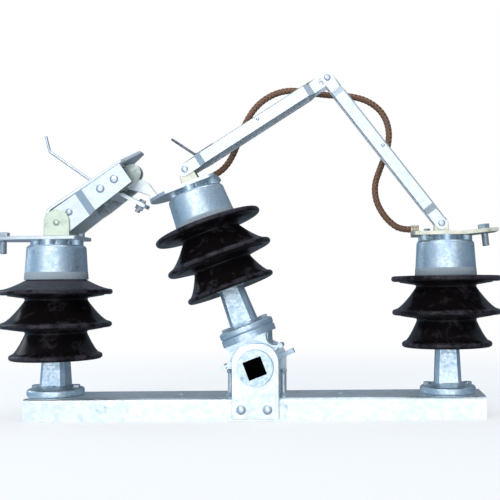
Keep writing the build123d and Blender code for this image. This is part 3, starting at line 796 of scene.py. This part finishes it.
# Painted highlight along the upper side of each rim, and dust that lies on the top shed up to the cap
def markGlaze(piece, drop):
    rimHighlights = piece.data.attributes.new("rimHighlight", "FLOAT", "POINT")
    dust = piece.data.attributes.new("topDust", "FLOAT", "POINT")
    rim, collar = porcelain["rim"], porcelain["collar"]
    inset = porcelain["rimRound"] * porcelain["highlightInset"]
    highlightFrom, highlightTo = rim * porcelain["highlightFrom"], rim * porcelain["highlightTo"]
    sheds = list(zip(porcelain["radii"], shedLows(drop)))
    top, lowest = sheds[-1]
    for i, vertex in enumerate(piece.data.vertices):
        reach = Vector((vertex.co.x, vertex.co.y)).length
        height = vertex.co.z
        onRim = any(reach > r - inset and low + highlightFrom < height < low + highlightTo for r, low in sheds)
        # Painted highlight: 1 on the upper side of each rim, else 0
        rimHighlights.data[i].value = 1.0 if onRim else 0.0
        if height > lowest + rim * porcelain["dustFrom"]:
            dust.data[i].value = max(0.0, 1 - (reach - collar) / (top - collar))


for side, post in posts.items():
    drop = porcelain["drop"][side]
    stack = lathe(side + "Porcelain", porcelainRings(drop), porcelain["sides"])
    markGlaze(stack, drop)
    stack.data.transform(post)
    settleNode(stack, side + "_insulator")
print("porcelain turned")


# Cement beads where porcelain meets iron
beads = {
    "cap": [(0.0470, 0.1893), (0.0499, 0.1894), (0.0504, 0.1902), (0.0498, 0.1990), (0.0496, 0.2012),
            (0.0488, 0.2020)],
    "foot": [(0.0195, -0.0040), (0.0222, -0.0038), (0.0238, -0.0022), (0.0243, 0.0), (0.0235, 0.0006)],
    "sides": 72,
}
capBead = lathe("capBead", beads["cap"], beads["sides"])
footBead = lathe("footBead", beads["foot"], beads["sides"])
for side, post in posts.items():
    lower = at(post, 0, 0, porcelain["foot"] - porcelain["drop"][side])
    ring = joined(side + "Cement", [copied(capBead, post), copied(footBead, lower)])
    settle(ring, bodyOf[side + "_cap"], "galvanised_iron", finishName="cementJoint")
for template in (capBead, footBead):
    bpy.data.objects.remove(template)
print("cement beads laid")


# Sheet and cast pieces, with their edges eased by the widths given here
softEdges = {
    "base_channel": 0.0011, "bearing_plate_front": 0.0011, "bearing_plate_back": 0.0011,
    "left_stem": 0.0016, "right_stem": 0.0016, "centre_stem": 0.0016,
    "left_cap": 0.0013, "right_cap": 0.0013, "centre_cap": 0.0013,
    "left_terminal_plate": 0.0010, "right_terminal_plate": 0.0010, "moving_plate": 0.0010,
    "contact_housing": 0.0007, "contact_jaw_front": 0.0012, "contact_jaw_back": 0.0012,
    "contact_bracket": 0.0009, "contact_top_strip": 0.0012, "fixed_arcing_horn": 0.0010,
    "mouth_guide": 0.0009, "moving_blade": 0.0014, "centre_arm_bracket": 0.0008,
    "right_arm_bracket": 0.0008, "inner_arm": 0.0006, "outer_arm": 0.0006, "inner_arm_horn": 0.0010,
    "rocker_casting": 0.0015,
}
alongX, alongZ = Vector((1, 0, 0)), Vector((0, 0, 1))
roundings = {  # place, direction of the edges, which of them, and radius
    "inner_arm": (innerArm, alongX, lambda p: abs(p.y) > 0.0145 and p.z > 0.0095, 0.0034),
    "outer_arm": (outerArm, alongX, lambda p: abs(p.y) > 0.0145 and p.z > 0.0095, 0.0034),
    "contact_housing": (housing, alongX, lambda p: abs(p.y) > 0.0365 and p.z > 0.030, 0.0034),
    "left_terminal_plate": (base, alongZ, lambda p: p.x < -0.44 or p.x > -0.30, 0.007),
    "right_terminal_plate": (base, alongZ, lambda p: p.x < 0.252, 0.007),
    "moving_plate": (rocker, alongZ, lambda p: p.x < -0.072 or p.x > 0.042, 0.012),
    "mouth_guide": (mouthGuide, alongZ, lambda p: p.x > 0.049, 0.0098),
}
creased = ("contact_housing", "inner_arm", "outer_arm", "contact_top_strip", "moving_blade",
           "right_terminal_plate")
eased = {}
for name, width in softEdges.items():
    piece = mergedCopy(name)
    if name in roundings:
        roundCorners(piece, *roundings[name])
    softenEdges(piece, width, shaping["bendCrease" if name in creased else "crease"])
    eased[name] = settleNode(piece, name)
print("edges eased on", len(eased), "pieces")

# Painted shade: the faces inside the rocker's drive sockets take the near-black finish
rockerVisual = eased["rocker_casting"]
rockerVisual.data.materials.append(finishes["socketGrease"])
toRocker = rocker.inverted()
for face in rockerVisual.data.polygons:
    spot = toRocker @ face.center
    inSquare = max(abs(spot.x), abs(spot.z)) < socketShade["halfWidth"]
    if inSquare and socketShade["from"] < abs(spot.y) < socketShade["to"]:
        face.material_index = 1
print("drive sockets painted black for shade")


# Fasteners, each modelled once for a 10 mm bolt and copied to size
fasteners = {
    "boltRadius": 0.005, "hexCorner": 0.0092, "headHeight": 0.0066, "nutHeight": 0.0080,
    "washerRadius": 0.0104, "washerThick": 0.0013, "washerEdge": 0.0004, "washerSides": 36,
    "chamfer": 0.0009, "chamferDrop": 0.6, "crown": (0.55, 0.15),
    "pitch": 0.0015, "threadDepth": 0.0006, "threadRoot": 0.1, "threadCrest": 0.55, "threadEnd": 0.8,
    "threadSides": 28, "tail": 0.0030,
    "rivetFoot": 0.0062, "rivetCentre": -0.0058, "rivetRadius": 0.0088, "rivetArc": (44, 88, 7),
    "rivetSides": 32,
}


def sized(place, scale, flip=False):
    turned = Matrix.Rotation(pi, 4, "X") if flip else Matrix.Identity(4)
    return place @ turned @ Matrix.Scale(scale, 4)


def facing(place, depth):
    return place @ Matrix.Rotation(radians(90 if depth < 0 else -90), 4, "X")


def hexRings(low, high):
    corner, cut = fasteners["hexCorner"], fasteners["chamfer"]
    drop = cut * fasteners["chamferDrop"]
    share, rise = fasteners["crown"]
    return [(corner - cut, low), (corner, low + drop), (corner, high - drop), (corner - cut, high),
            (corner * share, high + cut * rise)]


def threadRings(low, high):
    radius, pitch = fasteners["boltRadius"], fasteners["pitch"]
    turns = max(1, round((high - low) / pitch))
    rings = [(radius * fasteners["threadEnd"], low)]
    for i in range(turns):
        start = low + (high - low) * i / turns
        rings.append((radius - fasteners["threadDepth"], start + pitch * fasteners["threadRoot"]))
        rings.append((radius, start + pitch * fasteners["threadCrest"]))
    return rings + [(radius * fasteners["threadEnd"], high)]


def threadedRod(name, low, high):
    return lathe(name, threadRings(low, high), fasteners["threadSides"])


def shankAt(place, radius, low, high):
    scale = radius / fasteners["boltRadius"]
    shank = threadedRod("shank", low / scale, high / scale)
    shank.data.transform(sized(place, scale))
    return shank


def makeWasher():
    radius, thick, cut = fasteners["washerRadius"], fasteners["washerThick"], fasteners["washerEdge"]
    rings = [(radius - cut, 0), (radius, cut), (radius, thick - cut), (radius - cut, thick)]
    return lathe("washer", rings, fasteners["washerSides"])


def makeBolt():
    seat = fasteners["washerThick"]
    top = seat + fasteners["headHeight"]
    return joined("hexBolt", [lathe("head", hexRings(seat, top), 6), makeWasher()])


def makeNut():
    seat = fasteners["washerThick"]
    top = seat + fasteners["nutHeight"]
    return joined("hexNut", [
        lathe("nut", hexRings(seat, top), 6), makeWasher(),
        threadedRod("tail", seat, top + fasteners["tail"]),
    ])


def makeRivet():
    dome = arc((0.0, fasteners["rivetCentre"]), fasteners["rivetRadius"], *fasteners["rivetArc"])
    return lathe("rivet", [(fasteners["rivetFoot"], 0.0)] + dome, fasteners["rivetSides"])


hexBolt, hexNut, rivet = makeBolt(), makeNut(), makeRivet()


# Bolts through the post flanges, heads in the spot faces and nuts under the channel's web
flangeBolts = {"reach": 0.032, "seat": 0.011, "web": -0.005, "scale": 0.84}
for side, post in posts.items():
    copies = []
    for x in (-flangeBolts["reach"], flangeBolts["reach"]):
        copies.append(copied(hexBolt, sized(at(post, x, 0, flangeBolts["seat"]), flangeBolts["scale"])))
        if side != "centre":
            under = at(post, x, 0, flangeBolts["web"])
            copies.append(copied(hexNut, sized(under, flangeBolts["scale"], flip=True)))
    settle(joined(side + "FlangeBolts", copies), bodyOf[side + "_stem"], "bolt_steel")

# Stop bolts, screwed into the channel's web and locked by a nut
stops = {
    "reach": 0.042, "depth": -0.036, "radius": 0.0045, "nutScale": 0.74,
    "head": 0.0062, "headHeight": 0.0052, "headFoot": (0.0006, 0.0005), "headTop": 0.0009,
}
for side, way in (("left", -1), ("right", 1)):
    node = "stop_bolt_" + side
    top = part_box(node)[1].z
    foot = at(base, way * stops["reach"], stops["depth"], lay["deck"])
    shank = shankAt(foot, stops["radius"], 0, top - stops["headHeight"] - lay["deck"])
    width, tall, cut = stops["head"], stops["headHeight"], stops["headTop"]
    inset, lift = stops["headFoot"]
    head = lathe("head", [(width - inset, 0), (width, lift), (width, tall - cut), (width - cut, tall)], 6)
    head.data.transform(at(base, way * stops["reach"], stops["depth"], top - tall))
    lock = copied(hexNut, sized(foot, stops["nutScale"]))
    settle(joined(side + "StopBolt", [shank, head, lock]), "base", "bolt_steel", (node,))

# Terminal bolts, heads on the plates and shanks hanging below
terminals = {
    "left": at(base, -0.4265, 0, 0.290),
    "right": at(leaning(base @ Vector((0.3325, 0, 0.293)), lay["rightBend"]), 0.036, 0, -0.003),
    "plate": 0.006, "headScale": 1.09, "shank": 0.021, "radius": 0.006,
}
for side in ("left", "right"):
    node = side + "_terminal_bolt"
    shank = shankAt(terminals[side], terminals["radius"], -terminals["shank"], 0)
    head = copied(hexBolt, sized(at(terminals[side], 0, 0, terminals["plate"]), terminals["headScale"]))
    settle(joined(side + "TerminalBolt", [shank, head]), "base", "bolt_steel", (node,))

# Pivot pins, domed over at both ends
domeShares = ((1.0, 0.35), (0.86, 0.72), (0.55, 0.95), (0.2, 1.0))  # of the head's radius and dome's height
pins = {
    "shank": 0.004, "head": 0.0055, "dome": 0.0025, "sides": 32,
    "places": {
        "centre_pivot_pin": (at(rocker, 0, 0, 0.3425), 0.0153),
        "elbow_pin": (outerArm, 0.0156),
        "right_pivot_pin": (Matrix.Translation(joints["outer_arm_swing"]), 0.0153),
    },
}


def makePin(name, shape, seat):
    head, dome = shape["head"], shape["dome"]
    upper = [(shape["shank"], seat), (head, seat)]
    upper += [(head * share, seat + dome * rise) for share, rise in domeShares]
    return lathe(name, [(r, -z) for r, z in reversed(upper)] + upper, shape["sides"])


for name, (place, seat) in pins["places"].items():
    piece = makePin(name + "Visual", pins, seat)
    piece.data.transform(facing(place, -1))
    settleNode(piece, name)

# Jaw bolts through the housing, domed as the pins are
jawBolts = {
    "back": (0.021, 0.048), "rise": 0.0195, "shank": 0.004, "head": 0.0068, "dome": 0.003, "seat": 0.0375,
    "sides": 36,
}
copies = []
for back in jawBolts["back"]:
    piece = makePin("jawBolt", jawBolts, jawBolts["seat"])
    piece.data.transform(facing(at(housing, -back, 0, jawBolts["rise"]), -1))
    copies.append(piece)
settleNode(joined("contactJawBolts", copies), "contact_jaw_bolts")

# Rivets on both sides of the bearing plates, straps, bracket and arms
rivets = {  # body, place, spots along and up, depth, scale and slot
    "bearingRivets": (
        "base", base, [(-0.0222, 0.0182), (0.0192, 0.0180)], 0.056, 1.20, "galvanised_steel"),
    "strapRivets": ("base", housing, [(-0.1122, 0.0192)], 0.032, 0.95, "bolt_steel"),
    "bracketRivets": ("base", base, [(-0.3235, 0.3170)], 0.036, 0.85, "passivated_steel"),
    "innerArmRivets": ("inner_arm", innerArm, [(0.1450, 0.0035)], 0.020, 0.48, "bolt_steel"),
    "outerArmRivets": ("outer_arm", outerArm, [(0.1450, 0.0025)], 0.020, 0.48, "bolt_steel"),
}
for name, (body, place, spots, reach, scale, slotName) in rivets.items():
    copies = []
    for x, z in spots:
        for depth in (-reach, reach):
            copies.append(copied(rivet, sized(facing(at(place, x, depth, z), depth), scale)))
    settle(joined(name, copies), body, slotName)

# Guide bolt at the mouth
guide = {
    "along": 0.0355, "half": 0.003, "radius": 0.0045, "shank": 0.015, "headScale": 0.60, "nutScale": 0.74,
}
guidePlace = at(mouthGuide, guide["along"], 0, 0)
settleNode(joined("mouthGuideBolt", [
    shankAt(guidePlace, guide["radius"], -guide["shank"], 0),
    copied(hexBolt, sized(at(guidePlace, 0, 0, guide["half"]), guide["headScale"])),
    copied(hexNut, sized(at(guidePlace, 0, 0, -guide["half"]), guide["nutScale"], flip=True)),
]), "mouth_guide_bolt")

# Braid lugs, crimped barrels on flat tongues, each bolted to its plate
lug = {
    "barrel": 0.007, "barrelLength": 0.014, "barrelEnd": (0.9, 0.0006), "barrelSides": 36,
    "crimps": (0.0045, 0.0095), "crimpDepth": 0.0011, "crimpHalf": 0.0013, "crimpFlat": 0.0004,
    "tongueLength": 0.026, "tongueWidth": 0.013, "tongueThick": 0.003, "tongueRound": 0.46,
    "tongueEdge": 0.0005, "stand": 0.0073, "boltBack": 0.0275, "boltScale": 0.66, "depth": 0.031,
}


def makeLug():
    barrel, length, deep = lug["barrel"], lug["barrelLength"], lug["barrel"] - lug["crimpDepth"]
    share, ease = lug["barrelEnd"]
    half, flat = lug["crimpHalf"], lug["crimpFlat"]
    rings = [(barrel * share, 0), (barrel, ease)]
    for crimp in lug["crimps"]:
        rings += [(barrel, crimp - half), (deep, crimp - flat), (deep, crimp + flat),
                  (barrel, crimp + half)]
    rings += [(barrel, length - ease), (barrel * share, length)]
    tube = lathe("barrel", rings, lug["barrelSides"])
    tube.data.transform(Matrix.Rotation(radians(-90), 4, "Y"))
    reach, thick = lug["tongueLength"] + length, lug["tongueThick"]
    bpy.ops.mesh.primitive_cube_add(size=1, location=(-reach / 2, 0, -lug["stand"] + thick / 2))
    tongue = bpy.context.object
    tongue.scale = (reach, lug["tongueWidth"], thick)
    bpy.ops.object.transform_apply(location=True, rotation=True, scale=True)
    corner = lug["tongueWidth"] * lug["tongueRound"]
    roundCorners(tongue, Matrix.Identity(4), alongZ, lambda p: p.x < -reach / 2, corner)
    softenEdges(tongue, lug["tongueEdge"])
    return joined("braidLug", [tube, tongue])


braidLug = makeLug()
lugPlaces = {
    "moving": at(rocker, 0.019, lug["depth"], 0.3243),
    "right": at(base, 0.2495, lug["depth"], 0.3033) @ Matrix.Rotation(pi, 4, "Z"),
}
for side, place in lugPlaces.items():
    node = "braid_lug_" + side
    settleNode(copied(braidLug, place), node)
    seat = at(place, -lug["boltBack"], 0, -lug["stand"] + lug["tongueThick"])
    bolt = settle(copied(hexBolt, sized(seat, lug["boltScale"])), bodyOf[node], "bolt_steel")
    bolt.name = side + "LugBolt"

# Bolt that holds the left terminal plate to its cap
plateBolt = {"along": 0.0392, "seat": 0.296, "scale": 0.62}
seat = at(base, lay["leftPost"] + plateBolt["along"], 0, plateBolt["seat"])
bolt = settle(copied(hexBolt, sized(seat, plateBolt["scale"])), "base", "bolt_steel")
bolt.name = "leftPlateBolt"
for template in (hexBolt, hexNut, rivet, braidLug):
    bpy.data.objects.remove(template)
print("fasteners and lugs set")


# Copper braid, hung between its two lugs along the same points as its CAD tube
braid = {
    "points": [
        (-95.8, 393.3), (-77.0, 400.3), (-59.5, 414.5), (-46.5, 436.5), (-36.5, 464.0),
        (-25.0, 492.0), (-8.0, 517.0), (17.0, 535.0), (47.0, 543.0), (79.0, 538.0),
        (112.0, 532.5), (147.0, 531.5), (180.0, 523.0), (206.0, 502.0), (217.0, 471.0),
        (213.0, 439.0), (201.0, 409.0), (190.0, 380.0), (192.0, 353.0), (202.0, 332.0),
        (215.0, 316.0), (232.0, 303.6), (249.3, 303.3),
    ],
    "unit": 0.001, "curveOrder": 3, "curveSteps": 24, "depth": 0.031, "radius": 0.0055,
    "strandsEachWay": 8, "turnLength": 0.052, "stepsPerCross": 3, "sides": 6,
    "ribbonHalfWidth": 0.00150, "ribbonHalfThickness": 0.00062, "weave": 0.00052,
    "bendFrom": Vector((0.20, 0.031, 0.45)), "bendTo": Vector((-0.06, 0.031, 0.45)),
}


def braidRoute():
    curve = bpy.data.curves.new("braidRoute", "CURVE")
    curve.dimensions = "3D"
    curve.resolution_u = braid["curveSteps"]
    spline = curve.splines.new("NURBS")
    spline.points.add(len(braid["points"]) - 1)
    for point, (x, z) in zip(spline.points, braid["points"]):
        point.co = (x * braid["unit"] + hinge.x, braid["depth"], z * braid["unit"], 1)
    spline.order_u = braid["curveOrder"]
    spline.use_endpoint_u = True
    holder = placed("braidRoute", curve)
    bpy.context.view_layer.update()
    line = bpy.data.meshes.new_from_object(holder.evaluated_get(bpy.context.evaluated_depsgraph_get()))
    route = [v.co.copy() for v in line.vertices]
    bpy.data.objects.remove(holder)
    bpy.data.meshes.remove(line)
    return route


def evenSteps(route, step):
    spots = [route[0]]
    left = step
    for a, b in zip(route, route[1:]):
        span = (b - a).length
        while left <= span:
            spots.append(a.lerp(b, left / span))
            left += step
        left -= span
    return spots


# One flat strand, wound one way round the route, over and under the strands that go the other way
def strandPoints(spots, step, crosses, way, strand):
    points = []
    across = Vector((0, 1, 0))
    core = braid["radius"] - braid["ribbonHalfThickness"] - braid["weave"]
    for i, spot in enumerate(spots):
        ahead = (spots[min(i + 1, len(spots) - 1)] - spots[max(i - 1, 0)]).normalized()
        upward = ahead.cross(across).normalized()
        along = i * step
        turn = 2 * pi * (strand / braid["strandsEachWay"] + way * along / braid["turnLength"])
        outward = cos(turn) * across + sin(turn) * upward
        sideways = cos(turn) * upward - sin(turn) * across
        phase = pi * (along * crosses / 2 + strand)
        height = core + way * braid["weave"] * cos(phase)
        runs = ahead + sideways * way * 2 * pi * core / braid["turnLength"]
        flat = runs.normalized().cross(outward)
        for k in range(braid["sides"]):
            spin = 2 * pi * k / braid["sides"]
            thick = outward * braid["ribbonHalfThickness"] * cos(spin)
            wide = flat * braid["ribbonHalfWidth"] * sin(spin)
            points.append(spot + outward * height + thick + wide)
    return points


def braidMesh(spots, step, crosses):
    sides = braid["sides"]
    points, faces, uvs = [], [], []
    for way in (1, -1):
        for strand in range(braid["strandsEachWay"]):
            start = len(points)
            points += strandPoints(spots, step, crosses, way, strand)
            for i in range(len(spots) - 1):
                for k in range(sides):
                    a = start + i * sides + k
                    b = start + i * sides + (k + 1) % sides
                    faces.append((a, b, b + sides, a + sides))
                    uvs.append((k / sides, (k + 1) / sides, i * step, (i + 1) * step))
            last = start + (len(spots) - 1) * sides
            faces.append(tuple(range(start + sides - 1, start - 1, -1)))
            faces.append(tuple(range(last, last + sides)))
            uvs += [(0, 0, 0, 0), (0, 0, 0, 0)]
    mesh = bpy.data.meshes.new("copperBraid")
    mesh.from_pydata(points, [], faces)
    layer = mesh.uv_layers.new(name="alongStrand")
    for face, (u0, u1, v0, v1) in zip(mesh.polygons, uvs):
        corners = [(u0, v0), (u1, v0), (u1, v1), (u0, v1)]
        for number, loop in enumerate(face.loop_indices):
            layer.data[loop].uv = corners[number % 4]
    return mesh


def makeBraid():
    route = braidRoute()
    length = sum((b - a).length for a, b in zip(route, route[1:]))
    crosses = 2 * braid["strandsEachWay"] / braid["turnLength"]
    spots = evenSteps(route, 1 / (crosses * braid["stepsPerCross"]))
    spots[-1] = route[-1]
    step = length / (len(spots) - 1)
    piece = placed("copperBraid", braidMesh(spots, step, crosses))
    editAll(piece)
    bpy.ops.mesh.normals_make_consistent(inside=False)
    doneEditing()
    bpy.ops.object.shade_smooth()
    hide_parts("copper_braid")
    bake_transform(piece)
    return piece


copperBraid = makeBraid()
dress(copperBraid, "wovenCopper")
print("braid woven with", len(copperBraid.data.polygons), "faces")
